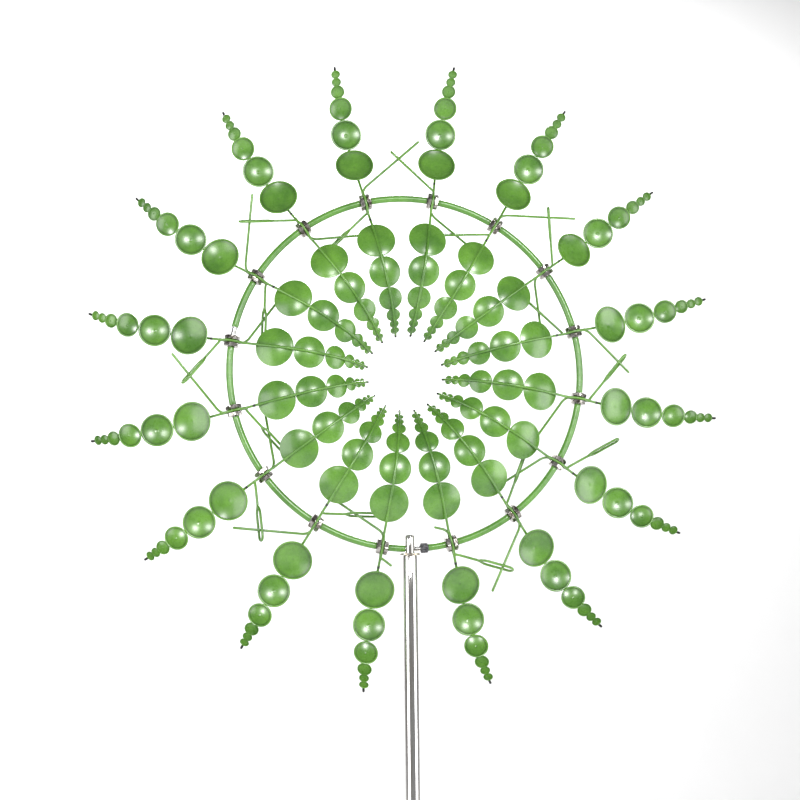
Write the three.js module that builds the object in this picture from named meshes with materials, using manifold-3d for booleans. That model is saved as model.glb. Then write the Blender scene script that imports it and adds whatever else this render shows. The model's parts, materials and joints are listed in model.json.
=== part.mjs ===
// Kinetic wind spinner: a hoop of sixteen balanced arms on a ground stake.
// Millimetres, +Z up. The hoop stands in the XZ plane and its front looks along -Y.
// The origin is the middle of the step bar's flat underside, where the stake stands on the ground.

import * as THREE from 'three';
import { mergeVertices } from 'three/addons/utils/BufferGeometryUtils.js';
import Module from 'manifold-3d';

const wasm = await Module();
wasm.setup();

// ---- driving dimensions ----

const hoopRadius = 166;          // centre line of the hoop rod
const hoopHeight = 800;          // hoop centre above the ground
const armCount = 16;
const hubShift = 2.3;            // degrees by which all hubs sit past an even start at the stake
const gap = 0.3;                 // running and assembly clearance

const rodRadius = 2.25;
const rodSteps = 72;
const sleeveRadius = 3.2;
const sleeveBore = 2.9;
const sleeveSteps = 3.2;         // extrusion steps in one arm's share of the hoop
const looseSleeve = 11;          // index of the sleeve that has slid along
const bareRod = 8;               // stretch that it leaves uncovered

const nutCorner = 7.5;           // across corners is twice this
const nutThickness = 3.7;
const hubBore = 3.1;
const neckCorner = 3.9;
const grooveHalf = 1.5;          // half the slot between a hub's two nuts
const hubHalf = grooveHalf + nutThickness;

const wireRadius = 1.2;
const wireSides = 4;
const wireOffset = 4.9;          // wire centre line from the hub axis, in the groove
const grooveExit = [4.5, 4.6];   // outward and forward, where a wire leaves the groove
const weldAt = 10.5;             // where the two wires of an arm meet, from the hub axis
const weldHeight = -1.0;         // the stem's centre line there, from the hub axis
const weldStep = 1.1;            // the finger's wire lies this far in front of the stem's at the weld
const stemTip = 130.5;           // hub axis to stem tip, measured along the radius
const stemLean = 0.36;           // sine of the angle at which a stem leans back from the hub
const curlFrom = 37;             // a stem is straight up to here, then an arc that curls forward
const curlRadius = 77;
const discThickness = 0.7;
const discSeat = 1.3;            // dish's middle over the stem's centre line

// one row per disc, from the hub out: place along the radius, disc radius, dish depth
const discs = [
  { at: 38.0, radius: 18.2, depth: 3.6 },
  { at: 72.2, radius: 15.0, depth: 2.9 },
  { at: 98.2, radius: 11.2, depth: 2.2 },
  { at: 112.6, radius: 6.7, depth: 1.3 },
  { at: 120.2, radius: 4.6, depth: 0.9 },
  { at: 125.8, radius: 4.4, depth: 0.9 },
];
const smallDisc = 7;             // discs under this radius are six-sided, the others eight-sided

// a finger leaves its weld along (x, y, z) = start + rise * y; y runs along the hoop
const straight = { start: [12.5, 0.8], rise: [0.50, 0.25], length: 70 };
const hairpin = { start: [9.86, 0.8], rise: [0.58, 0.25], length: 56, loopFrom: 25, loopHalf: 4.1 };
const stubLength = 12;           // fingers beside the stake are cut back to this
const trimmedLength = 58;        // straight fingers that would reach the second arm along

const studWidth = 8.4;
const studBelow = 4;             // stud's reach under and over the hoop rod's centre line
const studAbove = 12.5;
const shankRadius = 4.9;
const shankLength = 26;
const shankOverlap = 0.5;        // how far the shank reaches into the block above it
const clampNut = { from: 9.8, thickness: 7, corner: 4.6, bore: 2.9 };
const collar = { radius: 9.5, thickness: 1.6, bore: 5.3 };

const poleRadius = 6.65;
const poleBore = 5.3;
const poleSides = 16;
const joinerHeight = 320;
const joiner = { ringRadius: 7.8, ringHalf: 5, spigotRadius: 4.9, spigotHalf: 40 };

const bar = { length: 130, width: 26, thickness: 6, nose: 3 };
const prong = { radius: 4, depth: 150, point: 22 };

// ---- finishes ----

function finish(color, roughness, metalness) {
  return () => new THREE.MeshStandardMaterial({ color, roughness, metalness });
}

const greenPaint = finish(0x74b558, 0.3, 0.1);
const zinc = finish(0xb9bcbf, 0.35, 0.9);
const polishedSteel = finish(0xc9cbcd, 0.18, 1);
const darkSteel = finish(0x4a4c4e, 0.45, 0.8);

// ---- shape helpers ----

// A path with one extrusion step for each stretch between its points.
class WirePath extends THREE.Curve {
  constructor(points) {
    super();
    this.points = points.map((p) => new THREE.Vector3(...p));
  }

  getPoint(t, target = new THREE.Vector3()) {
    const last = this.points.length - 1;
    const i = Math.min(Math.floor(t * last), last - 1);
    return target.lerpVectors(this.points[i], this.points[i + 1], t * last - i);
  }

  getUtoTmapping(u) {
    return u;
  }
}

function circle(radius, sides) {
  const shape = new THREE.Shape();
  for (let i = 0; i < sides; i += 1) {
    const angle = (2 * Math.PI * i) / sides;
    const place = [radius * Math.cos(angle), radius * Math.sin(angle)];
    if (i === 0) shape.moveTo(...place);
    else shape.lineTo(...place);
  }
  shape.closePath();
  return shape;
}

function sweep(points, shape) {
  return new THREE.ExtrudeGeometry(shape, {
    steps: points.length - 1,
    extrudePath: new WirePath(points),
    bevelEnabled: false,
  });
}

const wire = (points) => sweep(points, circle(wireRadius, wireSides));

// A closed skin over a row of rings with the same number of corners each.
function skin(rings) {
  const sides = rings[0].length;
  const index = [];
  for (let row = 0; row + 1 < rings.length; row += 1) {
    for (let i = 0; i < sides; i += 1) {
      const next = (i + 1) % sides;
      const [a, b] = [row * sides + i, row * sides + next];
      index.push(a, a + sides, b, b, a + sides, b + sides);
    }
  }
  const end = (rings.length - 1) * sides;
  for (let i = 1; i + 1 < sides; i += 1) {
    index.push(0, i, i + 1, end, end + i + 1, end + i);
  }
  const geometry = new THREE.BufferGeometry();
  geometry.setAttribute('position', new THREE.Float32BufferAttribute(rings.flat(2), 3));
  geometry.setIndex(index);
  return geometry;
}

// Points along the hoop's centre line from one angle to another, in the hoop's own upright plane.
function hoopArc(fromAngle, toAngle, steps) {
  const points = [];
  for (let i = 0; i <= steps; i += 1) {
    const angle = fromAngle + ((toAngle - fromAngle) * i) / steps;
    points.push([hoopRadius * Math.cos(angle), hoopRadius * Math.sin(angle), 0]);
  }
  return points;
}

// A turned piece about its own Y axis, from [radius, height] corners.
function turned(profile, sides) {
  return new THREE.LatheGeometry(profile.map(([r, y]) => new THREE.Vector2(r, y)), sides);
}

// A ring or tube about Y: outer radius, bore, and its two ends.
function ring(outer, bore, low, high, sides) {
  return turned([[bore, low], [outer, low], [outer, high], [bore, high], [bore, low]], sides);
}

// The same geometry with shared corners joined and empty triangles dropped.
function welded(geometry) {
  const bare = geometry.clone();
  for (const name of Object.keys(bare.attributes)) {
    if (name !== 'position') bare.deleteAttribute(name);
  }
  const merged = mergeVertices(bare, 1e-4);
  const corners = merged.index.array;
  const kept = [];
  for (let i = 0; i < corners.length; i += 3) {
    const [a, b, c] = [corners[i], corners[i + 1], corners[i + 2]];
    if (a !== b && b !== c && c !== a) kept.push(a, b, c);
  }
  merged.setIndex(kept);
  return merged;
}

function toManifold(geometry) {
  const clean = welded(geometry);
  const vertProperties = new Float32Array(clean.attributes.position.array);
  const triVerts = new Uint32Array(clean.index.array);
  const solid = new wasm.Manifold(new wasm.Mesh({ numProp: 3, vertProperties, triVerts }));
  if (solid.volume() >= 0) return solid;
  const flipped = triVerts.map((_, i) => triVerts[3 * Math.floor(i / 3) + [0, 2, 1][i % 3]]);
  return new wasm.Manifold(new wasm.Mesh({ numProp: 3, vertProperties, triVerts: flipped }));
}

function fromManifold(solid) {
  const mesh = solid.getMesh();
  const geometry = new THREE.BufferGeometry();
  geometry.setAttribute('position', new THREE.BufferAttribute(mesh.vertProperties, 3));
  geometry.setIndex(new THREE.BufferAttribute(mesh.triVerts, 1));
  return geometry;
}

function union(geometries) {
  const joined = geometries.map(toManifold).reduce((all, next) => all.add(next));
  return fromManifold(joined);
}

function cut(geometry, tool) {
  return fromManifold(toManifold(geometry).subtract(toManifold(tool)));
}

// ---- one arm: x runs outward, y along the hoop, z to the front; the hub axis is the y axis ----

const flatCosine = Math.sqrt(1 - stemLean ** 2);
const curlStart = weldHeight - (stemLean / flatCosine) * (curlFrom - weldAt);

// Sine of the stem's slope, and its height, at a place along the radius.
const leanAt = (x) => Math.max(0, x - curlFrom) / curlRadius - stemLean;

function stemHeight(x) {
  if (x < curlFrom) return weldHeight - (stemLean / flatCosine) * (x - weldAt);
  return curlStart + curlRadius * (flatCosine - Math.sqrt(1 - leanAt(x) ** 2));
}

// The other half of an arm is this half turned half a turn about the hub axis.
const otherHalf = ([x, y, z]) => [-x, y, -z];

// A finger's point at a distance along it; side is +1 or -1 along the hoop.
function fingerLine(finger, side) {
  const [riseX, riseZ] = finger.rise;
  const norm = Math.hypot(1, riseX, riseZ);
  return (distance) => {
    const y = distance / norm;
    return [finger.start[0] + riseX * y, side * y, finger.start[1] + riseZ * y];
  };
}

// Where a finger's wire passes from the groove, past its weld to the stem, to its straight run.
function fingerRoot(side) {
  const [outward, forward] = grooveExit;
  return [[outward, 0, forward], [weldAt, 0.2 * side, weldHeight + weldStep]];
}

function straightFinger(length) {
  const along = fingerLine(straight, -1);
  return [...fingerRoot(-1), along(4), along(length)];
}

// A hairpin's wire runs out along one side of its loop, and a second length closes the other side.
function hairpinFinger(length) {
  const { rise, loopFrom, loopHalf } = hairpin;
  const along = fingerLine(hairpin, 1);
  if (length <= loopFrom) return { out: [...fingerRoot(1), along(4), along(length)], back: null };
  const acrossLength = Math.hypot(...rise);
  const across = [rise[1] / acrossLength, 0, -rise[0] / acrossLength];
  const beside = ([distance, part]) => along(distance).map((v, i) => v + part * loopHalf * across[i]);
  const widened = [[loopFrom - 1, 0], [loopFrom + 4, 1], [length - 0.9 * loopHalf, 1], [length, 0.35]];
  const closing = [[length, 0.1], [length - 0.1, -0.4], [length - 0.9 * loopHalf, -1], [loopFrom + 4, -1],
    [loopFrom - 0.5, 0]];
  return {
    out: [...fingerRoot(1), along(4), ...widened.map(beside), beside([length, -0.25])],
    back: closing.map(beside),
  };
}

// A station of the beaded stem: six corners round its centre line, square to the stem there.
// wide is half the width, edge the height of the sides' middle, top and bottom those of the middle.
function station(x, along, sine, { wide, edge, top, bottom }) {
  const cosine = Math.sqrt(1 - sine ** 2);
  const half = discThickness / 2;
  const corners = [[0, bottom], [wide, edge - half], [wide, edge + half], [0, top], [-wide, edge + half],
    [-wide, edge - half]];
  return corners.map(([y, z]) => [
    x + along * cosine - z * sine,
    y,
    stemHeight(x) + along * sine + z * cosine,
  ]);
}

const wireSection = { wide: 0.9 * wireRadius, edge: 0, top: wireRadius, bottom: -wireRadius };

// Stations of one disc: its sides as parts of the radius, along the stem and across it.
function discStations({ at, radius, depth }) {
  const outline = radius < smallDisc ? [[-0.5, 0.87], [0.5, 0.87]] : [[-0.71, 0.71], [0, 1], [0.71, 0.71]];
  return outline.map(([u, w]) => station(at, u * radius, leanAt(at), {
    wide: w * radius,
    edge: discSeat + depth,
    top: discSeat + discThickness / 2 + depth * u ** 2,
    bottom: (u * radius) ** 2 / (2 * curlRadius) - wireRadius,
  }));
}

// The narrow place where two discs' rims meet over the stem, or where one rim ends.
function rimStation(x, depth) {
  const edge = discSeat + depth;
  const top = edge + discThickness / 2;
  return station(x, 0, leanAt(x), { wide: wireRadius, edge, top, bottom: -wireRadius });
}

const rimReach = 0.93;           // a tilted rim's reach along the hub's radius, as a part of its own radius
const lastRimReach = 0.5;        // the same for the last disc, which tilts the most
const rimToWire = [2, 0.6];      // stem between its plain round stretch and the first and last rim

// One half of an arm from its weld to its tip: the stem with its six discs, as one skin.
function beadedStem() {
  const first = discs[0];
  const last = discs[discs.length - 1];
  const wireAt = (x) => station(x, 0, leanAt(x), wireSection);
  const rimStart = first.at - rimReach * first.radius;
  const rings = [wireAt(weldAt), wireAt(rimStart - rimToWire[0]), rimStation(rimStart, first.depth)];
  discs.forEach((disc, i) => {
    rings.push(...discStations(disc));
    const next = discs[i + 1];
    if (!next) return;
    const between = (disc.at * next.radius + next.at * disc.radius) / (disc.radius + next.radius);
    rings.push(rimStation(between, (disc.depth + next.depth) / 2));
  });
  const rimEnd = last.at + lastRimReach * last.radius;
  rings.push(rimStation(rimEnd, last.depth), wireAt(rimEnd + rimToWire[1]), wireAt(stemTip));
  return skin(rings);
}

function turnedHalf(geometry) {
  return geometry.clone().rotateY(Math.PI);
}

function arm(straightLength, hairpinLength) {
  const groove = [0, 0, wireOffset];
  const [outward, forward] = grooveExit;
  const stemStart = weldAt + 1.5;
  const toStem = [[outward, 0, -forward], [stemStart, 0, stemHeight(stemStart)]];
  const outer = hairpinFinger(hairpinLength);
  const inner = straightFinger(straightLength).map(otherHalf);
  const frontWire = wire([...outer.out.reverse(), groove, ...toStem.map(otherHalf)]);
  const backWire = wire([...inner.reverse(), otherHalf(groove), ...toStem]);
  const closing = outer.back ? [sweep(outer.back, circle(0.9 * wireRadius, wireSides))] : [];
  const stem = beadedStem();
  return union([stem, turnedHalf(stem), frontWire, backWire, ...closing]);
}

// ---- hub: two nuts and the neck between them, turning on the hoop rod ----

function hub() {
  const profile = [
    [hubBore, -hubHalf],
    [nutCorner, -hubHalf],
    [nutCorner, -grooveHalf],
    [neckCorner, -grooveHalf],
    [neckCorner, grooveHalf],
    [nutCorner, grooveHalf],
    [nutCorner, hubHalf],
    [hubBore, hubHalf],
    [hubBore, -hubHalf],
  ];
  return turned(profile, 6).rotateY(Math.PI / 6);
}

// ---- hoop pieces, in the hoop's own upright plane ----

const stepAngle = (2 * Math.PI) / armCount;
const stakeAngle = -Math.PI / 2;
const armAngle = (index) => stakeAngle + (index + 0.5) * stepAngle + (hubShift * Math.PI) / 180;
const asAngle = (length) => length / hoopRadius;

function sleeve(fromAngle, toAngle) {
  const section = circle(sleeveRadius, 8);
  section.holes.push(circle(sleeveBore, 8));
  const steps = Math.max(1, Math.ceil(((toAngle - fromAngle) / stepAngle) * sleeveSteps));
  return sweep(hoopArc(fromAngle, toAngle, steps), section);
}

function sleeveSpans() {
  const hubEnd = asAngle(hubHalf + gap);
  const nutEnd = asAngle(clampNut.from + clampNut.thickness + gap);
  const studEnd = asAngle(studWidth / 2 + gap);
  const spans = [];
  for (let i = 0; i <= armCount; i += 1) {
    const from = i === 0 ? stakeAngle + nutEnd : armAngle(i - 1) + hubEnd;
    const to = i === armCount ? stakeAngle + 2 * Math.PI - studEnd : armAngle(i) - hubEnd;
    spans.push({ from, to });
  }
  spans[looseSleeve].to -= asAngle(bareRod);
  return spans;
}

function hoopRod() {
  const halfSplit = asAngle(gap);
  const points = hoopArc(stakeAngle + halfSplit, stakeAngle + 2 * Math.PI - halfSplit, rodSteps);
  return sweep(points, circle(rodRadius, 7));
}

// ---- stake pieces, about the world's vertical axis ----

const upright = (geometry) => geometry.rotateX(Math.PI / 2);

function postStud(hoopBottom) {
  const height = studBelow + studAbove;
  const block = new THREE.BoxGeometry(studWidth, studWidth, height);
  block.translate(0, 0, hoopBottom + (studAbove - studBelow) / 2);
  const low = hoopBottom - studBelow - shankLength;
  const top = hoopBottom - studBelow + shankOverlap;
  const shank = upright(turned([[0, low], [shankRadius, low], [shankRadius, top], [0, top]], poleSides));
  const crossHole = new THREE.CylinderGeometry(sleeveBore, sleeveBore, 2 * studWidth, 12);
  crossHole.rotateZ(Math.PI / 2);
  crossHole.translate(0, 0, hoopBottom);
  return cut(union([block, shank]), crossHole);
}

function poleJoiner() {
  const { ringRadius, ringHalf, spigotRadius, spigotHalf } = joiner;
  return upright(turned([
    [0, -spigotHalf],
    [spigotRadius, -spigotHalf],
    [spigotRadius, -ringHalf],
    [ringRadius, -ringHalf],
    [ringRadius, ringHalf],
    [spigotRadius, ringHalf],
    [spigotRadius, spigotHalf],
    [0, spigotHalf],
  ], poleSides));
}

function stepBar() {
  const outline = new THREE.Shape();
  const [x, y, nose] = [bar.length / 2, bar.width / 2, bar.nose];
  outline.moveTo(-x, -y + nose);
  outline.lineTo(-x + nose, -y);
  outline.lineTo(x - nose, -y);
  outline.lineTo(x, -y + nose);
  outline.lineTo(x, y - nose);
  outline.lineTo(x - nose, y);
  outline.lineTo(-x + nose, y);
  outline.lineTo(-x, y - nose);
  outline.closePath();
  return new THREE.ExtrudeGeometry(outline, { depth: bar.thickness, bevelEnabled: false });
}

function groundProng() {
  const profile = [
    [0, -prong.depth],
    [prong.radius, -prong.depth + prong.point],
    [prong.radius, bar.thickness],
    [0, bar.thickness],
  ];
  return upright(turned(profile, 10));
}

// ---- assembly ----

const object = new THREE.Group();

function add(parent, name, geometry, material) {
  const mesh = new THREE.Mesh(geometry, material);
  mesh.name = name;
  parent.add(mesh);
  return mesh;
}

const twoDigits = (number) => String(number).padStart(2, '0');

// In this group x runs right, y up and z to the front.
const hoopPlane = new THREE.Group();
hoopPlane.position.z = hoopHeight;
hoopPlane.rotation.x = Math.PI / 2;
object.add(hoopPlane);

add(hoopPlane, 'hoop_rod', hoopRod(), zinc());
sleeveSpans().forEach(({ from, to }, i) => {
  add(hoopPlane, `sleeve_${twoDigits(i + 1)}`, sleeve(from, to), greenPaint());
});

const nutHalf = clampNut.thickness / 2;
const nutGeometry = ring(clampNut.corner, clampNut.bore, -nutHalf, nutHalf, 6);
const nutPlace = new THREE.Group();
nutPlace.rotation.z = stakeAngle + asAngle(clampNut.from + nutHalf);
hoopPlane.add(nutPlace);
add(nutPlace, 'hoop_nut', nutGeometry, darkSteel()).position.x = hoopRadius;

// Arms that sit the other way up hook into both their neighbours.
const flippedArms = new Set([2, 5, 7, 9, 11, 13, 15]);
const fullArm = arm(straight.length, hairpin.length);
const trimmedArm = arm(trimmedLength, hairpin.length);
const specialArms = {
  1: arm(stubLength, hairpin.length),
  4: trimmedArm,
  5: trimmedArm,
  16: arm(straight.length, stubLength),
};

for (let i = 0; i < armCount; i += 1) {
  const number = i + 1;
  const station = new THREE.Group();
  station.rotation.z = armAngle(i);
  hoopPlane.add(station);
  const armMesh = add(station, `arm_${twoDigits(number)}`, specialArms[number] ?? fullArm, greenPaint());
  armMesh.position.x = hoopRadius;
  armMesh.rotation.y = flippedArms.has(number) ? Math.PI : 0;
  add(station, `hub_${twoDigits(number)}`, hub(), zinc()).position.x = hoopRadius;
}

const hoopBottom = hoopHeight - hoopRadius;
const collarTop = hoopBottom - studBelow - gap;
const poleTop = collarTop - collar.thickness - gap;
const collarRing = ring(collar.radius, collar.bore, collarTop - collar.thickness, collarTop, 24);
const joinerReach = joiner.ringHalf + gap;
const upperPole = ring(poleRadius, poleBore, joinerHeight + joinerReach, poleTop, poleSides);
const lowerPole = ring(poleRadius, poleBore, bar.thickness + gap, joinerHeight - joinerReach, poleSides);
add(object, 'post_stud', postStud(hoopBottom), polishedSteel());
add(object, 'post_collar', upright(collarRing), polishedSteel());
add(object, 'pole_upper', upright(upperPole), polishedSteel());
add(object, 'pole_joiner', poleJoiner(), polishedSteel()).position.z = joinerHeight;
add(object, 'pole_lower', upright(lowerPole), polishedSteel());
add(object, 'step_bar', stepBar(), darkSteel());

const prongPlace = bar.length / 2 + gap + prong.radius;
add(object, 'prong_left', groundProng(), darkSteel()).position.x = -prongPlace;
add(object, 'prong_right', groundProng(), darkSteel()).position.x = prongPlace;

export default object;
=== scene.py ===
"""Wind spinner: a hoop of sixteen turning arms on a ground stake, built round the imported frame."""

import json
import math
import random

import bmesh
import bpy
from mathutils import Matrix, Vector, noise


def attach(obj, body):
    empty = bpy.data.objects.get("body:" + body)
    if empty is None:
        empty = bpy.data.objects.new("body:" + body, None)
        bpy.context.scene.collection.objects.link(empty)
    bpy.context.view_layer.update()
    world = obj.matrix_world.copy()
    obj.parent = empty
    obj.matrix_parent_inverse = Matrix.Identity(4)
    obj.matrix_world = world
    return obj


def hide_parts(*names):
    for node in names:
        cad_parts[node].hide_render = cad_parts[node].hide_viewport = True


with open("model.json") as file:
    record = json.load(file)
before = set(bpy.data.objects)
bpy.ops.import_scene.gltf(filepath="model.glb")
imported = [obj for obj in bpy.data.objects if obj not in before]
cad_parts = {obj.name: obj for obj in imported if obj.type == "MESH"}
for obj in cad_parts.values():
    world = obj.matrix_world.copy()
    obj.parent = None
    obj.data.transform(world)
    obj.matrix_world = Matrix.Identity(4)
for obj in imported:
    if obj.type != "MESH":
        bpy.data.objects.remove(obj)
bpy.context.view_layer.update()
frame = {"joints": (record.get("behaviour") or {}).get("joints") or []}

# ---- driving dimensions, in millimetres, as the design has them ----

MM = 0.001
HOOP_RADIUS = 166.0
HOOP_HEIGHT = 800.0
ARM_COUNT = 16
ROD_RADIUS = 2.25
SLEEVE_RADIUS = 3.2
SLEEVE_BORE = 2.45
HUB_HALF = 5.2
GROOVE_HALF = 1.5
NUT_CORNER = 7.5
NECK_RADIUS = 3.35
HUB_BORE = 3.1
WIRE_RADIUS = 1.2
WIRE_OFFSET = 4.9
WELD_AT = 10.5
WELD_HEIGHT = -1.0
STEM_TIP = 130.5
STEM_LEAN = 0.36
CURL_FROM = 37.0
CURL_RADIUS = 77.0
DISC_SEAT = 1.3
DISC_THICKNESS = 0.7
# place along the radius, disc radius and dish depth, from the hub out
DISCS = [
    (38.0, 18.2, 3.6),
    (72.2, 15.0, 2.9),
    (98.2, 11.2, 2.2),
    (112.6, 6.7, 1.3),
    (120.2, 4.6, 0.9),
    (125.8, 4.4, 0.9),
]
STRAIGHT = {"start": (12.5, 0.8), "rise": (0.50, 0.25), "side": -1}
HAIRPIN = {"start": (9.86, 0.8), "rise": (0.58, 0.25), "side": 1}
STRAIGHT_LENGTH, HAIRPIN_LENGTH, STUB_LENGTH, TRIMMED_LENGTH = 70.0, 56.0, 12.0, 58.0
LOOP_FROM, LOOP_HALF = 25.0, 4.1
FLIPPED_ARMS = {2, 5, 7, 9, 11, 13, 15}
BLACK_TIP = 2.6


def point(x, y, z):
    return Vector((x, y, z))


# ---- a mesh in the making ----

class Piece:
    """Rings, tubes and turned shapes gathered into one mesh, in millimetres and in the piece's own axes."""

    def __init__(self):
        self.points, self.faces, self.finishes = [], [], []

    def loft(self, rings, finish=0, loop=False):
        """A skin over rings of corners: one point closes an end, and loop joins last ring to first."""
        starts = []
        for ring in rings:
            starts.append(len(self.points))
            self.points += ring
        last = len(rings) - 1
        pairs = [(i, i + 1) for i in range(last)] + ([(last, 0)] if loop else [])
        for a, b in pairs:
            size_a, size_b = len(rings[a]), len(rings[b])
            for i in range(max(size_a, size_b)):
                corners = [
                    starts[a] + i % size_a,
                    starts[a] + (i + 1) % size_a,
                    starts[b] + (i + 1) % size_b,
                    starts[b] + i % size_b,
                ]
                self.faces.append(list(dict.fromkeys(corners)))
                self.finishes.append(finish)

    def finish(self, name, place=None, sharp=38.0):
        """The mesh object, with its faces turned outward and its hard edges marked."""
        place = place or Matrix.Identity(4)
        mesh = bpy.data.meshes.new(name)
        mesh.from_pydata([place @ p * MM for p in self.points], [], self.faces)
        mesh.polygons.foreach_set("material_index", self.finishes)
        work = bmesh.new()
        work.from_mesh(mesh)
        bmesh.ops.recalc_face_normals(work, faces=work.faces)
        work.to_mesh(mesh)
        work.free()
        mesh.shade_smooth()
        mesh.set_sharp_from_angle(angle=math.radians(sharp))
        made = bpy.data.objects.new(name, mesh)
        bpy.context.scene.collection.objects.link(made)
        return made


def around(centre, axis_a, axis_b, radius, sides):
    """A ring of corners round a centre, in the plane of two unit axes."""
    turn = [2 * math.pi * i / sides for i in range(sides)]
    return [centre + radius * (math.cos(t) * axis_a + math.sin(t) * axis_b) for t in turn]


def travel(path):
    """For each point of a path, its tangent and two axes across it that never twist."""
    last = len(path) - 1
    tangents = [(path[min(i + 1, last)] - path[max(i - 1, 0)]).normalized() for i in range(last + 1)]
    across = tangents[0].orthogonal().normalized()
    frames = []
    for tangent in tangents:
        across = (across - across.dot(tangent) * tangent).normalized()
        frames.append((tangent, across, tangent.cross(across)))
    return frames


def tube(piece, path, radius, sides=10, finish=0):
    """A round wire along a path, with domed ends."""
    frames = travel(path)
    rings = []
    for index, sign in ((0, -1), (len(path) - 1, 1)):
        tangent, a, b = frames[index]
        dome = []
        for angle in (65, 35):
            lift = math.radians(angle)
            centre = path[index] + sign * radius * math.sin(lift) * tangent
            dome.append(around(centre, a, b, radius * math.cos(lift), sides))
        cap = [[path[index] + sign * radius * tangent]] + dome
        if sign < 0:
            rings += cap
            rings += [around(p, f[1], f[2], radius, sides) for p, f in zip(path, frames)]
        else:
            rings += cap[::-1]
    piece.loft(rings, finish)


def bent(corners, reach, steps=5):
    """A wire's path through corners, each turned into a smooth bend that starts reach before it."""
    path = [corners[0]]
    for before, corner, after in zip(corners, corners[1:], corners[2:]):
        way_in, way_out = before - corner, after - corner
        cut = min(reach, 0.48 * way_in.length, 0.48 * way_out.length)
        start, end = corner + cut * way_in.normalized(), corner + cut * way_out.normalized()
        for i in range(steps + 1):
            t = i / steps
            path.append((1 - t) ** 2 * start + 2 * t * (1 - t) * corner + t * t * end)
    path.append(corners[-1])
    return path


def turned(piece, profile, centre, axis, sides, finish=0, loop=False):
    """A turned shape from (radius, height) corners; a radius of 0 closes it on the axis."""
    a = axis.orthogonal().normalized()
    b = axis.cross(a)
    rings = []
    for radius, height in profile:
        middle = centre + height * axis
        rings.append([middle] if radius == 0 else around(middle, a, b, radius, sides))
    piece.loft(rings, finish, loop)


def weld_bead(piece, centre, along, size, finish=0):
    """A small lump of weld, longer along the wire and never quite even."""
    a = along.orthogonal().normalized()
    b = along.cross(a)
    length, width = size
    rings = [[centre - length * along]]
    for row in range(1, 6):
        lift = math.pi * row / 6
        middle = centre - length * math.cos(lift) * along
        ring = around(middle, a, b, width * math.sin(lift), 10)
        rings.append([middle + (p - middle) * (1 + 0.18 * noise.noise(0.9 * p)) for p in ring])
    rings.append([centre + length * along])
    piece.loft(rings, finish)


# ---- materials ----

def new_material(name, color, metallic, roughness, coat=0.0, coat_roughness=0.05):
    """A principled material with its plain numbers on its own sockets."""
    made = bpy.data.materials.new(name)
    made.use_nodes = True
    shader = made.node_tree.nodes["Principled BSDF"]
    shader.inputs["Base Color"].default_value = (*color, 1)
    shader.inputs["Metallic"].default_value = metallic
    shader.inputs["Roughness"].default_value = roughness
    shader.inputs["Coat Weight"].default_value = coat
    shader.inputs["Coat Roughness"].default_value = coat_roughness
    return made


class Nodes:
    """Short names for the nodes that the materials are made of."""

    def __init__(self, material):
        self.tree = material.node_tree
        self.shader = self.tree.nodes["Principled BSDF"]
        self.coordinates = self.tree.nodes.new("ShaderNodeTexCoord").outputs["Object"]

    def link(self, source, target):
        self.tree.links.new(source, target)

    def noise(self, scale, detail=3.0, roughness=0.5, stretch=None):
        made = self.tree.nodes.new("ShaderNodeTexNoise")
        made.inputs["Scale"].default_value = scale
        made.inputs["Detail"].default_value = detail
        made.inputs["Roughness"].default_value = roughness
        source = self.coordinates
        if stretch:
            mapping = self.tree.nodes.new("ShaderNodeMapping")
            mapping.inputs["Scale"].default_value = stretch
            self.link(source, mapping.inputs["Vector"])
            source = mapping.outputs["Vector"]
        self.link(source, made.inputs["Vector"])
        return made.outputs["Fac"]

    def ramp(self, source, stops):
        """A colour ramp; stops are (position, (r, g, b))."""
        made = self.tree.nodes.new("ShaderNodeValToRGB")
        elements = made.color_ramp.elements
        while len(elements) < len(stops):
            elements.new(0.5)
        for element, (position, color) in zip(elements, stops):
            element.position = position
            element.color = (*color, 1)
        self.link(source, made.inputs["Fac"])
        return made.outputs["Color"]

    def spread(self, source, low, high, to_low, to_high):
        made = self.tree.nodes.new("ShaderNodeMapRange")
        for key, value in (("From Min", low), ("From Max", high), ("To Min", to_low), ("To Max", to_high)):
            made.inputs[key].default_value = value
        self.link(source, made.inputs["Value"])
        return made.outputs["Result"]

    def multiply(self, a, b):
        made = self.tree.nodes.new("ShaderNodeVectorMath")
        made.operation = "MULTIPLY"
        self.link(a, made.inputs[0])
        self.link(b, made.inputs[1])
        return made.outputs["Vector"]

    def creases(self):
        """Above one half on ridges, below it in grooves."""
        return self.tree.nodes.new("ShaderNodeNewGeometry").outputs["Pointiness"]

    def bump(self, source, distance, strength, under=None):
        made = self.tree.nodes.new("ShaderNodeBump")
        made.inputs["Distance"].default_value = distance
        made.inputs["Strength"].default_value = strength
        self.link(source, made.inputs["Height"])
        if under:
            self.link(under, made.inputs["Normal"])
        return made.outputs["Normal"]


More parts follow.
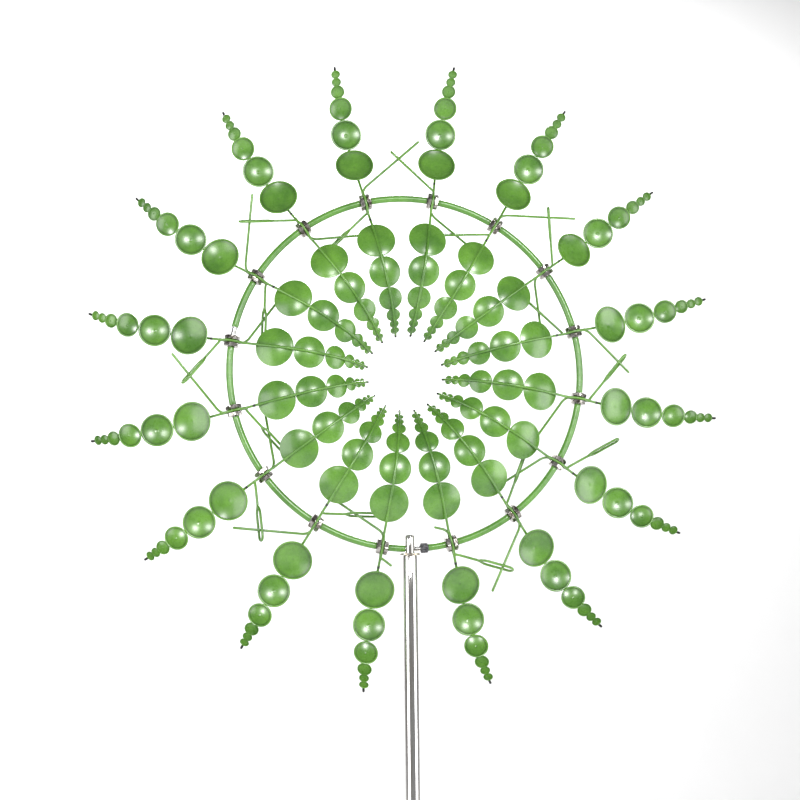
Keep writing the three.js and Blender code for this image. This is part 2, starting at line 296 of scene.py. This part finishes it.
def green_paint(name, pale, deep):
    """Gloss enamel: broad uneven colour, painted shade darkening its grooves and creases, a faint orange peel
    and a few dull handling marks.
    """
    made = new_material(name, pale, 0.0, 0.3, coat=0.9, coat_roughness=0.24)
    nodes = Nodes(made)
    shader = nodes.shader
    broad = nodes.noise(38.0, detail=4.0, roughness=0.6)
    colour = nodes.ramp(broad, [(0.35, deep), (0.68, pale)])
    # Painted shade: the colour is darkened where the surface is hollow, in grooves, creases and the inner
    # corners of the disc rims.
    painted_crease_shade = nodes.ramp(nodes.creases(), [(0.46, (0.22, 0.28, 0.18)), (0.495, (1, 1, 1))])
    nodes.link(nodes.multiply(colour, painted_crease_shade), shader.inputs["Base Color"])
    marks = nodes.noise(210.0, detail=5.0, roughness=0.7)
    nodes.link(nodes.spread(marks, 0.45, 0.75, 0.26, 0.42), shader.inputs["Roughness"])
    peel = nodes.noise(900.0, detail=2.0)
    sags = nodes.noise(160.0, detail=1.0)
    nodes.link(nodes.bump(peel, 0.00005, 0.35, nodes.bump(sags, 0.0002, 0.25)), shader.inputs["Normal"])
    return made


def plated_steel(name, bright, stain, roughness, stretch=None):
    """Metal with cloudy plating, fine scratches and small stains."""
    made = new_material(name, bright, 1.0, roughness)
    nodes = Nodes(made)
    shader = nodes.shader
    clouds = nodes.noise(260.0, detail=5.0, roughness=0.65, stretch=stretch)
    nodes.link(nodes.ramp(clouds, [(0.36, stain), (0.56, bright)]), shader.inputs["Base Color"])
    grain = nodes.noise(700.0, detail=4.0, roughness=0.6, stretch=stretch)
    nodes.link(nodes.spread(grain, 0.3, 0.7, 0.6 * roughness, 1.6 * roughness), shader.inputs["Roughness"])
    nodes.link(nodes.bump(grain, 0.00006, 0.3), shader.inputs["Normal"])
    return made


def dark_coat(name, color):
    """Satin black paint with a fine texture and rubbed patches."""
    made = new_material(name, color, 0.0, 0.45)
    nodes = Nodes(made)
    shader = nodes.shader
    rubbed = nodes.noise(70.0, detail=6.0, roughness=0.7)
    pale = tuple(2.6 * c for c in color)
    nodes.link(nodes.ramp(rubbed, [(0.5, color), (0.78, pale)]), shader.inputs["Base Color"])
    nodes.link(nodes.spread(rubbed, 0.4, 0.7, 0.38, 0.6), shader.inputs["Roughness"])
    nodes.link(nodes.bump(nodes.noise(1400.0), 0.00008, 0.4), shader.inputs["Normal"])
    return made


ARM_PAINT = green_paint("arm_paint", (0.132, 0.325, 0.031), (0.060, 0.185, 0.014))
SLEEVE_PAINT = green_paint("sleeve_paint", (0.115, 0.31, 0.036), (0.065, 0.20, 0.02))
# Black for the cut wire tips, and also for the painted shadow band on each stem by the first disc.
TIP_BLACK_AND_DISC_SHADOW = dark_coat("tip_black_and_disc_shadow", (0.012, 0.013, 0.012))
ZINC = plated_steel("zinc_plate", (0.50, 0.48, 0.45), (0.10, 0.08, 0.065), 0.16)
ROD_STEEL = plated_steel("rod_steel", (0.62, 0.62, 0.62), (0.35, 0.34, 0.33), 0.2)
DARK_ZINC = plated_steel("dark_zinc", (0.13, 0.13, 0.14), (0.05, 0.05, 0.05), 0.3)
STAKE_STEEL = plated_steel("stake_steel", (0.80, 0.79, 0.77), (0.62, 0.59, 0.54), 0.1, stretch=(1, 1, 0.06))
BRASSY_STEEL = plated_steel("brassy_steel", (0.78, 0.74, 0.66), (0.40, 0.27, 0.13), 0.2)
BLACK_STEEL = dark_coat("black_steel", (0.018, 0.018, 0.019))


def dress(obj, body, slot, node, *materials):
    """Gives a finished piece its materials and its body, and hides the design node that it stands for; the
    slot is not used.
    """
    for material in materials:
        obj.data.materials.append(material)
    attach(obj, body)
    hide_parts(node)
    return obj


# ---- one arm: x runs outward, y along the hoop, z to the front; the hub's axis is the y axis ----

def lean_at(x):
    """The sine of the stem's slope at a place along the radius."""
    return max(0.0, x - CURL_FROM) / CURL_RADIUS - STEM_LEAN


def stem_height(x):
    flat = math.sqrt(1 - STEM_LEAN ** 2)
    curl_start = WELD_HEIGHT - STEM_LEAN / flat * (CURL_FROM - WELD_AT)
    if x < CURL_FROM:
        return WELD_HEIGHT - STEM_LEAN / flat * (x - WELD_AT)
    return curl_start + CURL_RADIUS * (flat - math.sqrt(1 - lean_at(x) ** 2))


def other_half(p):
    """The same point on the arm's other half, half a turn about the hub's axis."""
    return point(-p.x, p.y, -p.z)


def finger_line(finger):
    """A function from the distance along a finger to its point."""
    rise_x, rise_z = finger["rise"]
    start_x, start_z = finger["start"]
    norm = math.sqrt(1 + rise_x ** 2 + rise_z ** 2)
    side = finger["side"]
    return lambda s: point(start_x + rise_x * s / norm, side * s / norm, start_z + rise_z * s / norm)


def finger_root(side):
    return [point(4.5, 0, 4.6), point(WELD_AT, 0.2 * side, WELD_HEIGHT + 1.1)]


def straight_finger(length):
    along = finger_line(STRAIGHT)
    return finger_root(-1) + [along(4), along(length)]


def hairpin_finger(length):
    """Out along one side of a long loop, round its end and back to close on itself."""
    along = finger_line(HAIRPIN)
    root = finger_root(1) + [along(4)]
    if length <= LOOP_FROM:
        return root + [along(length)]
    rise_x, rise_z = HAIRPIN["rise"]
    across = point(rise_z, 0, -rise_x).normalized()
    turn_at = length - LOOP_HALF
    loop = [(LOOP_FROM - 1, 0.0), (LOOP_FROM + 4, 1.0)]
    for step in range(7):
        angle = math.pi * step / 6
        loop.append((turn_at + LOOP_HALF * math.sin(angle), math.cos(angle)))
    loop += [(LOOP_FROM + 4, -1.0), (LOOP_FROM - 0.5, -0.25)]
    return root + [along(s) + part * LOOP_HALF * across for s, part in loop]


def stem_run(start, end, step=4.0):
    """Points of the outer stem from one place along the radius to another."""
    count = max(1, round((end - start) / step))
    places = [start + (end - start) * i / count for i in range(count + 1)]
    return [point(x, 0, stem_height(x)) for x in places]


def disc_profile(radius, depth):
    """A dished disc with a raised bead at its rim and a small spot-weld dimple in its middle."""
    half = DISC_THICKNESS / 2
    height = lambda r: DISC_SEAT + depth * (r / radius) ** 2
    bead = min(1.0, 0.09 * radius)
    inner = radius - 1.7 * bead
    profile = [(0, height(0) + half - 0.22), (0.06 * radius, height(0) + half - 0.12)]
    profile += [(0.11 * radius, height(0.11 * radius) + half + 0.05)]
    profile += [(r * inner, height(r * inner) + half) for r in (0.2, 0.4, 0.6, 0.8, 0.93, 1.0)]
    rim = height(radius)
    lip = 0.55 * bead
    profile += [(radius - 1.35 * bead, rim + half + 0.35 * lip)]
    profile += [(radius - 0.8 * bead, rim + half + 0.6 * lip)]
    profile += [(radius - 0.28 * bead, rim + half + 0.3 * lip), (radius, rim + 0.1)]
    profile += [(radius - 0.12 * bead, rim - half)]
    profile += [(radius - 0.6 * bead, rim - half - 0.1)]
    profile += [(r * inner, height(r * inner) - half) for r in (1.0, 0.8, 0.55, 0.3)]
    return profile + [(0, height(0) - half)]


def add_disc(piece, disc, turn_half, wobble):
    """One disc on its stem, tilted a little as it was welded."""
    at, radius, depth = disc
    sine = lean_at(at)
    normal = point(-sine + wobble[0], wobble[1], math.sqrt(1 - sine ** 2)).normalized()
    centre = point(at, 0, stem_height(at))
    if turn_half:
        normal, centre = other_half(normal), other_half(centre)
    sides = 40 if radius > 10 else 24
    turned(piece, disc_profile(radius, depth), centre, normal, sides)
    for side in (-1, 1):
        seat = centre + point(0, 0.75 * side, 0) + 0.35 * normal
        weld_bead(piece, seat, normal.cross(point(0, 1, 0)), (1.6, 0.6))


def tip_run():
    """The last stretch of a stem, beyond its last disc."""
    return stem_run(STEM_TIP - BLACK_TIP, STEM_TIP - WIRE_RADIUS, step=1.0)


def arm_weldment(number, straight_length, hairpin_length):
    """Two wires crossing the hub in its groove, each a finger at one end and a stem of discs at the other."""
    piece = Piece()
    draw = random.Random(number)
    groove = point(0, 0, WIRE_OFFSET)
    to_stem = [point(4.5, 0, -4.6), point(WELD_AT + 1.5, 0, stem_height(WELD_AT + 1.5))]
    stem = stem_run(16.0, STEM_TIP - BLACK_TIP)
    front = hairpin_finger(hairpin_length)[::-1] + [groove] + [other_half(p) for p in to_stem + stem]
    straight = [other_half(p) for p in straight_finger(straight_length)]
    back = straight[::-1] + [other_half(groove)] + to_stem + stem
    for wire in (front, back):
        tube(piece, bent(wire, 2.6, 4), WIRE_RADIUS)
    tube(piece, tip_run(), 0.98 * WIRE_RADIUS, finish=1)
    tube(piece, [other_half(p) for p in tip_run()], 0.98 * WIRE_RADIUS, finish=1)
    # Painted shadow: a short black band on the outer stem just inside the first disc's rim, where the disc
    # shades the stem.
    painted_disc_shadow_from = DISCS[0][0] - DISCS[0][1] - 1.8
    tube(piece, stem_run(painted_disc_shadow_from, painted_disc_shadow_from + 1.6, step=0.8), 1.08 * WIRE_RADIUS, finish=1)
    for half in (False, True):
        seat = point(WELD_AT + 0.6, 0.1, WELD_HEIGHT + 0.3)
        weld_bead(piece, other_half(seat) if half else seat, point(1, 0, 0), (2.6, 1.35))
        for disc in DISCS:
            add_disc(piece, disc, half, (draw.uniform(-0.05, 0.05), draw.uniform(-0.05, 0.05)))
    if hairpin_length > LOOP_FROM:
        along = finger_line(HAIRPIN)
        weld_bead(piece, along(LOOP_FROM - 1), (along(1) - along(0)).normalized(), (2.4, 1.25))
    return piece


def arm_place(joint, flipped):
    """The arm's own axes in the row frame, from the joint that it turns on."""
    along = Vector(joint["axis"]).normalized()
    outward = Vector((along.z, 0, -along.x))
    front = outward.cross(along)
    if flipped:
        outward, front = -outward, -front
    place = Matrix((outward, along, front)).transposed().to_4x4()
    place.translation = Vector(joint["pos_m"]) / MM
    return place


# ---- hub: two thin hexagon nuts with the neck of a bush between them ----

def hexagon_radius(angle, turn):
    """Distance from a hexagon's middle to its edge in a direction."""
    flat = NUT_CORNER * math.cos(math.pi / 6)
    return flat / math.cos((angle - turn) % (math.pi / 3) - math.pi / 6)


def nut_rings(low, high, turn):
    """Rings of a chamfered nut's outside from its low face to its high face."""
    flat = NUT_CORNER * math.cos(math.pi / 6)
    rings = []
    sides = 48
    steps = (0.0, 0.3, 0.65, 1.0)
    heights = [(low + s, s) for s in steps] + [(high - s, s) for s in reversed(steps)]
    for height, inside in heights:
        cone = flat - 0.25 + inside * 1.75
        ring = []
        for i in range(sides):
            angle = 2 * math.pi * i / sides
            radius = min(hexagon_radius(angle, turn), cone)
            ring.append(point(radius * math.cos(angle), height, radius * math.sin(angle)))
        rings.append(ring)
    return rings


def hub_nuts(number):
    piece = Piece()
    draw = random.Random(100 + number)
    along, out, front = point(0, 1, 0), point(1, 0, 0), point(0, 0, 1)
    circle = lambda radius, height: around(height * along, out, front, radius, 48)
    rings = [circle(HUB_BORE, -HUB_HALF + 0.5), circle(HUB_BORE + 0.5, -HUB_HALF)]
    rings += nut_rings(-HUB_HALF, -GROOVE_HALF, draw.uniform(0, 0.5))
    rings += [circle(NECK_RADIUS, -GROOVE_HALF), circle(NECK_RADIUS, GROOVE_HALF)]
    rings += nut_rings(GROOVE_HALF, HUB_HALF, draw.uniform(0, 0.5))
    rings += [circle(HUB_BORE + 0.5, HUB_HALF), circle(HUB_BORE, HUB_HALF - 0.5)]
    piece.loft(rings, loop=True)
    return piece


ARM_LENGTHS = {
    1: (STUB_LENGTH, HAIRPIN_LENGTH),
    4: (TRIMMED_LENGTH, HAIRPIN_LENGTH),
    5: (TRIMMED_LENGTH, HAIRPIN_LENGTH),
    16: (STRAIGHT_LENGTH, STUB_LENGTH),
}

for joint in frame["joints"]:
    label = joint["child"][-2:]
    number = int(label)
    lengths = ARM_LENGTHS.get(number, (STRAIGHT_LENGTH, HAIRPIN_LENGTH))
    weldment = arm_weldment(number, *lengths).finish(
        f"arm_weldment_{label}", arm_place(joint, number in FLIPPED_ARMS))
    dress(weldment, joint["child"], "green_paint_arms", f"arm_{label}", ARM_PAINT, TIP_BLACK_AND_DISC_SHADOW)
    nuts = hub_nuts(number).finish(f"hub_nuts_{label}", arm_place(joint, False), sharp=25.0)
    dress(nuts, joint["child"], "zinc_nuts", f"hub_{label}", ZINC)


# ---- hoop: the steel rod, its painted sleeves and its nut ----

HOOP_CENTRE = point(0, 0, HOOP_HEIGHT)
STAKE_ANGLE = -math.pi / 2
STUD_RADIUS = 4.2
NUT_FROM, NUT_LENGTH, HOOP_NUT_CORNER = 9.8, 7.0, 4.6
THREAD_PITCH, THREAD_DEPTH = 0.8, 0.32
BARE_ROD = 8.0
LOOSE_SLEEVE = 11
GAP = 0.3


def as_angle(length):
    return length / HOOP_RADIUS


def hoop_frame(angle):
    """A point on the hoop's centre line, with its outward, along and front axes."""
    out = point(math.cos(angle), 0, math.sin(angle))
    along = point(-math.sin(angle), 0, math.cos(angle))
    return HOOP_CENTRE + HOOP_RADIUS * out, out, along, point(0, -1, 0)


def hoop_ring(angle, radius, sides):
    centre, out, _, front = hoop_frame(angle)
    return around(centre, out, front, radius, sides)


def sleeve(from_angle, to_angle):
    """A painted tube round part of the hoop, with its cut ends rounded over."""
    piece = Piece()
    steps = max(2, math.ceil((to_angle - from_angle) / math.radians(1.2)))
    soft = as_angle(0.35)
    walls = [(from_angle, SLEEVE_BORE + 0.1), (from_angle, SLEEVE_RADIUS - 0.35)]
    walls += [(from_angle + 0.3 * soft, SLEEVE_RADIUS - 0.1), (from_angle + soft, SLEEVE_RADIUS)]
    walls += [(from_angle + (to_angle - from_angle) * i / steps, SLEEVE_RADIUS) for i in range(1, steps)]
    walls += [(to_angle - soft, SLEEVE_RADIUS), (to_angle - 0.3 * soft, SLEEVE_RADIUS - 0.1)]
    walls += [(to_angle, SLEEVE_RADIUS - 0.35), (to_angle, SLEEVE_BORE + 0.1)]
    walls += [(to_angle + (from_angle - to_angle) * i / steps, SLEEVE_BORE) for i in range(1, steps)]
    piece.loft([hoop_ring(angle, radius, 20) for angle, radius in walls], loop=True)
    return piece


def arm_angle(index):
    """Where an arm's hub sits on the hoop, from its joint, counted on from the stake."""
    x, _, z = frame["joints"][index]["pos_m"]
    return STAKE_ANGLE + (math.atan2(z / MM - HOOP_HEIGHT, x / MM) - STAKE_ANGLE) % (2 * math.pi)


def sleeve_spans():
    hub_end = as_angle(HUB_HALF + GAP)
    spans = []
    for i in range(ARM_COUNT + 1):
        start = arm_angle(i - 1) + hub_end if i else STAKE_ANGLE + as_angle(NUT_FROM + NUT_LENGTH + GAP)
        last = i == ARM_COUNT
        end = STAKE_ANGLE + 2 * math.pi - as_angle(STUD_RADIUS + GAP) if last else arm_angle(i) - hub_end
        spans.append((start, end - as_angle(BARE_ROD) if i == LOOSE_SLEEVE else end))
    return spans


def hoop_rod():
    """The drawn rod, threaded where its nut runs."""
    piece = Piece()
    sides = 24
    split, thread_end = as_angle(0.3), as_angle(NUT_FROM + NUT_LENGTH + GAP)
    angles = [STAKE_ANGLE + split + (thread_end - split) * i / 160 for i in range(161)]
    plain = 2 * math.pi - split - thread_end
    angles += [STAKE_ANGLE + thread_end + plain * i / 220 for i in range(1, 221)]
    rings = []
    for angle in angles:
        centre, out, _, front = hoop_frame(angle)
        distance = (angle - STAKE_ANGLE) * HOOP_RADIUS
        threaded = angle < STAKE_ANGLE + thread_end
        ring = []
        for i in range(sides):
            turn = 2 * math.pi * i / sides
            groove = abs((distance / THREAD_PITCH - i / sides) % 1.0 - 0.5) * 2
            radius = ROD_RADIUS - (THREAD_DEPTH * groove if threaded else 0)
            ring.append(centre + radius * (math.cos(turn) * out + math.sin(turn) * front))
        rings.append(ring)
    rings = [[hoop_frame(angles[0])[0]]] + rings + [[hoop_frame(angles[-1])[0]]]
    piece.loft(rings)
    return piece


def hoop_nut():
    """A long hexagon nut with chamfered corners, threaded on the hoop rod."""
    piece = Piece()
    centre, out, along, front = hoop_frame(STAKE_ANGLE + as_angle(NUT_FROM + NUT_LENGTH / 2))
    flat = HOOP_NUT_CORNER * math.cos(math.pi / 6)
    half = NUT_LENGTH / 2
    rings = [around(centre - (half - 0.3) * along, out, front, ROD_RADIUS + 0.1, 48)]
    rings.append(around(centre - half * along, out, front, ROD_RADIUS + 0.4, 48))
    lower = ((-half, 0), (-half + 0.3, 0.35), (-half + 0.7, 1))
    upper = ((half - 0.7, 1), (half - 0.3, 0.35), (half, 0))
    for height, cone in lower + upper:
        ring = []
        for i in range(48):
            angle = 2 * math.pi * i / 48
            edge = flat / math.cos(angle % (math.pi / 3) - math.pi / 6)
            radius = min(edge, flat - 0.15 + cone)
            ring.append(centre + height * along + radius * (math.cos(angle) * out + math.sin(angle) * front))
        rings.append(ring)
    rings.append(around(centre + half * along, out, front, ROD_RADIUS + 0.4, 48))
    rings.append(around(centre + (half - 0.3) * along, out, front, ROD_RADIUS + 0.1, 48))
    piece.loft(rings, loop=True)
    return piece


dress(hoop_rod().finish("hoop_rod_steel"), "root", "bare_rod", "hoop_rod", ROD_STEEL)
dress(hoop_nut().finish("hoop_nut_hex", sharp=25.0), "root", "dark_nut", "hoop_nut", DARK_ZINC)
for i, span in enumerate(sleeve_spans(), start=1):
    tube_piece = sleeve(*span).finish(f"sleeve_tube_{i:02d}")
    dress(tube_piece, "root", "green_paint_sleeves", f"sleeve_{i:02d}", SLEEVE_PAINT)


# ---- stake: stud, collar, pole in two lengths, step bar and prongs ----

UP = point(0, 0, 1)
STUD_LOW, STUD_HIGH = 630.0, 646.5
SHANK_RADIUS, SHANK_LENGTH = 4.9, 26.0
COLLAR_RADIUS, COLLAR_THICKNESS, COLLAR_TOP = 9.5, 1.6, 629.7
POLE_RADIUS, POLE_BORE = 6.65, 5.3
JOINER_HEIGHT, JOINER_RADIUS, JOINER_HALF, SPIGOT_HALF = 320.0, 7.8, 5.0, 40.0
BAR_LENGTH, BAR_WIDTH, BAR_THICKNESS, BAR_NOSE = 130.0, 26.0, 6.0, 3.0
PRONG_RADIUS, PRONG_DEPTH, PRONG_POINT = 4.0, 150.0, 22.0


def tube_profile(radius, bore, low, high, soft):
    """Corners of a tube's wall with softened ends, as a closed loop."""
    outside = [(radius - soft, low), (radius - 0.3 * soft, low + 0.3 * soft), (radius, low + soft)]
    outside += [(radius, low + (high - low) * i / 8) for i in range(1, 8)]
    outside += [(radius, high - soft), (radius - 0.3 * soft, high - 0.3 * soft), (radius - soft, high)]
    return outside + [(bore + 0.2, high), (bore, high - 0.2), (bore, low + 0.2), (bore + 0.2, low)]


def post_stud():
    """A round head with a chamfered top and a hole for the hoop, on a shank that fits the pole."""
    piece = Piece()
    low = STUD_LOW - SHANK_LENGTH
    profile = [(0, low), (SHANK_RADIUS - 0.6, low), (SHANK_RADIUS, low + 0.6), (SHANK_RADIUS, STUD_LOW)]
    profile += [(STUD_RADIUS, STUD_LOW + 0.01), (STUD_RADIUS, STUD_LOW + 4), (STUD_RADIUS, STUD_HIGH - 1.1)]
    profile += [(STUD_RADIUS - 0.25, STUD_HIGH - 0.6), (STUD_RADIUS - 1.1, STUD_HIGH)]
    profile += [(STUD_RADIUS - 2.2, STUD_HIGH)]
    profile += [(0, STUD_HIGH)]
    turned(piece, profile, point(0, 0, 0), UP, 48)
    return piece


def drilled(obj, centre, axis, radius):
    """The same piece with a round hole through it."""
    drill = Piece()
    turned(drill, [(0, -20), (radius, -20), (radius, 20), (0, 20)], centre, axis, 32)
    cutter = drill.finish("drill")
    cut = obj.modifiers.new("hole", "BOOLEAN")
    cut.operation = "DIFFERENCE"
    cut.solver = "EXACT"
    cut.object = cutter
    bpy.context.view_layer.update()
    graph = bpy.context.evaluated_depsgraph_get()
    obj.data = bpy.data.meshes.new_from_object(obj.evaluated_get(graph))
    obj.modifiers.clear()
    bpy.data.objects.remove(cutter)
    obj.data.set_sharp_from_angle(angle=math.radians(30))
    return obj


def collar():
    piece = Piece()
    low = COLLAR_TOP - COLLAR_THICKNESS
    profile = tube_profile(COLLAR_RADIUS, POLE_BORE, low, COLLAR_TOP, 0.4)
    turned(piece, profile, point(0, 0, 0), UP, 64, loop=True)
    return piece


def pole(low, high):
    piece = Piece()
    turned(piece, tube_profile(POLE_RADIUS, POLE_BORE, low, high, 0.5), point(0, 0, 0), UP, 64, loop=True)
    return piece


def joiner():
    """A ring with a rolled edge, and a spigot into each pole."""
    piece = Piece()
    half = JOINER_HALF
    side = [(4.9, half), (JOINER_RADIUS - 0.8, half), (JOINER_RADIUS - 0.2, half - 0.3)]
    side += [(JOINER_RADIUS, half - 0.9)]
    side += [(JOINER_RADIUS, 0.9), (JOINER_RADIUS - 0.35, 0.45), (JOINER_RADIUS - 0.35, 0)]
    top = [(0, SPIGOT_HALF), (4.3, SPIGOT_HALF), (4.9, SPIGOT_HALF - 0.6)] + side
    profile = top + [(r, -h) for r, h in reversed(top[:-1])]
    turned(piece, profile, point(0, 0, JOINER_HEIGHT), UP, 48)
    return piece


def step_bar():
    """A flat bar with rounded ends and softened edges, to press the stake in with a foot."""
    piece = Piece()
    x, y = BAR_LENGTH / 2, BAR_WIDTH / 2
    outline = []
    for sign_x, sign_y, start in ((1, 1, 0), (-1, 1, 90), (-1, -1, 180), (1, -1, 270)):
        for step in range(5):
            turn = math.radians(start + 22.5 * step)
            outline.append((sign_x * (x - BAR_NOSE) + BAR_NOSE * math.cos(turn),
                            sign_y * (y - BAR_NOSE) + BAR_NOSE * math.sin(turn)))
    rings = [[point(0, 0, 0)]]
    lower = ((0, 0.8), (0.25, 0.25), (0.8, 0))
    upper = ((BAR_THICKNESS - 0.8, 0), (BAR_THICKNESS - 0.25, 0.25), (BAR_THICKNESS, 0.8))
    for height, inset in lower + upper:
        rings.append([point(px * (1 - inset / x), py * (1 - inset / y), height) for px, py in outline])
    rings.append([point(0, 0, BAR_THICKNESS)])
    piece.loft(rings)
    return piece


def prong(place):
    """A round ground spike with a long point."""
    piece = Piece()
    tip = -PRONG_DEPTH
    profile = [(0, tip), (0.5, tip + 0.7), (PRONG_RADIUS * 0.55, tip + PRONG_POINT * 0.5)]
    profile += [(PRONG_RADIUS, tip + PRONG_POINT), (PRONG_RADIUS, tip + 60)]
    profile += [(PRONG_RADIUS, BAR_THICKNESS - 0.6)]
    profile += [(PRONG_RADIUS - 0.6, BAR_THICKNESS), (0, BAR_THICKNESS)]
    turned(piece, profile, point(place, 0, 0), UP, 32)
    return piece


stud = drilled(post_stud().finish("stake_stud"), point(0, 0, HOOP_HEIGHT - HOOP_RADIUS), point(1, 0, 0), 2.75)
dress(stud, "root", "polished_stake", "post_stud", STAKE_STEEL)
dress(collar().finish("stake_collar"), "root", "polished_stake", "post_collar", BRASSY_STEEL)
dress(pole(JOINER_HEIGHT + JOINER_HALF + GAP, 627.8).finish("stake_pole_upper"), "root", "polished_stake",
      "pole_upper", STAKE_STEEL)
dress(pole(BAR_THICKNESS + GAP, JOINER_HEIGHT - JOINER_HALF - GAP).finish("stake_pole_lower"), "root",
      "polished_stake", "pole_lower", STAKE_STEEL)
dress(joiner().finish("stake_joiner"), "root", "polished_stake", "pole_joiner", STAKE_STEEL)
dress(step_bar().finish("stake_step_bar"), "root", "dark_steel", "step_bar", BLACK_STEEL)
prong_place = BAR_LENGTH / 2 + GAP + PRONG_RADIUS
dress(prong(-prong_place).finish("stake_prong_left"), "root", "dark_steel", "prong_left", BLACK_STEEL)
dress(prong(prong_place).finish("stake_prong_right"), "root", "dark_steel", "prong_right", BLACK_STEEL)


# ---- stage: pale floor and wall, soft light and the camera ----

FLOOR_LEVEL = -0.152
WALL_BEHIND = 3.2


def stage_material(name, color):
    made = new_material(name, color, 0.0, 0.9)
    nodes = Nodes(made)
    grain = nodes.noise(6.0, detail=2.0)
    pale = tuple(min(1.0, 1.01 * c) for c in color)
    nodes.link(nodes.ramp(grain, [(0.3, color), (0.7, pale)]), nodes.shader.inputs["Base Color"])
    return made


def stage_sheet(name, corners, material):
    mesh = bpy.data.meshes.new(name)
    mesh.from_pydata(corners, [], [list(range(len(corners)))])
    mesh.materials.append(material)
    made = bpy.data.objects.new(name, mesh)
    bpy.context.scene.collection.objects.link(made)


REACH = 6.0
FLOOR_CORNERS = [
    (-REACH, -REACH, FLOOR_LEVEL),
    (REACH, -REACH, FLOOR_LEVEL),
    (REACH, REACH, FLOOR_LEVEL),
    (-REACH, REACH, FLOOR_LEVEL),
]
WALL_CORNERS = [
    (-REACH, WALL_BEHIND, FLOOR_LEVEL),
    (REACH, WALL_BEHIND, FLOOR_LEVEL),
    (REACH, WALL_BEHIND, REACH),
    (-REACH, WALL_BEHIND, REACH),
]
stage_sheet("floor", FLOOR_CORNERS, stage_material("floor_white", (0.86, 0.86, 0.86)))
stage_sheet("wall", WALL_CORNERS, stage_material("wall_white", (0.88, 0.88, 0.88)))


def soft_box(name, place, target, size, power, color=(1, 1, 1)):
    data = bpy.data.lights.new(name, "AREA")
    data.shape = "RECTANGLE"
    data.size, data.size_y = size
    data.energy = power
    data.color = color
    made = bpy.data.objects.new(name, data)
    bpy.context.scene.collection.objects.link(made)
    made.location = place
    made.rotation_mode = "QUATERNION"
    made.rotation_quaternion = (Vector(target) - Vector(place)).to_track_quat("-Z", "Y")


HOOP_M = HOOP_CENTRE * MM
soft_box("key_left", (-0.75, -2.2, 1.30), HOOP_M, (0.4, 0.4), 15.0)
soft_box("key_right", (0.62, -2.2, 1.45), HOOP_M, (0.4, 0.4), 24.0)
soft_box("back_fill", (0.5, 2.1, 2.2), HOOP_M, (0.6, 0.6), 20.0)
soft_box("wall_wash", (0.0, 2.0, 2.4), (0.0, WALL_BEHIND, 0.3), (3.4, 0.5), 75.0)
soft_box("side_left", (-1.25, -0.7, 0.66), HOOP_M, (0.9, 1.1), 10.0)
soft_box("side_right", (1.25, -0.7, 0.66), HOOP_M, (0.9, 1.1), 11.0)

world = bpy.data.worlds.new("studio")
bpy.context.scene.world = world
world.use_nodes = True
world.node_tree.nodes["Background"].inputs["Color"].default_value = (1.0, 1.0, 1.0, 1)
world.node_tree.nodes["Background"].inputs["Strength"].default_value = 0.28
bpy.context.scene.view_settings.view_transform = "Standard"

CAMERA_DISTANCE = 1.3
LENS = 62.3
AZIMUTH, ELEVATION, ROLL = math.radians(8.26), math.radians(-8.61), math.radians(-0.7)
camera_data = bpy.data.cameras.new("photo_camera")
camera_data.sensor_width = 36.0
camera_data.lens = LENS
camera_data.shift_x, camera_data.shift_y = -0.0096, -0.0369
camera = bpy.data.objects.new("photo_camera", camera_data)
bpy.context.scene.collection.objects.link(camera)
bpy.context.scene.camera = camera
forward = Vector((math.sin(AZIMUTH), math.cos(AZIMUTH), -math.tan(ELEVATION))).normalized()
camera.location = HOOP_M - CAMERA_DISTANCE * forward
camera.rotation_mode = "QUATERNION"
camera.rotation_quaternion = forward.to_track_quat("-Z", "Y") @ Matrix.Rotation(ROLL, 3, "Z").to_quaternion()
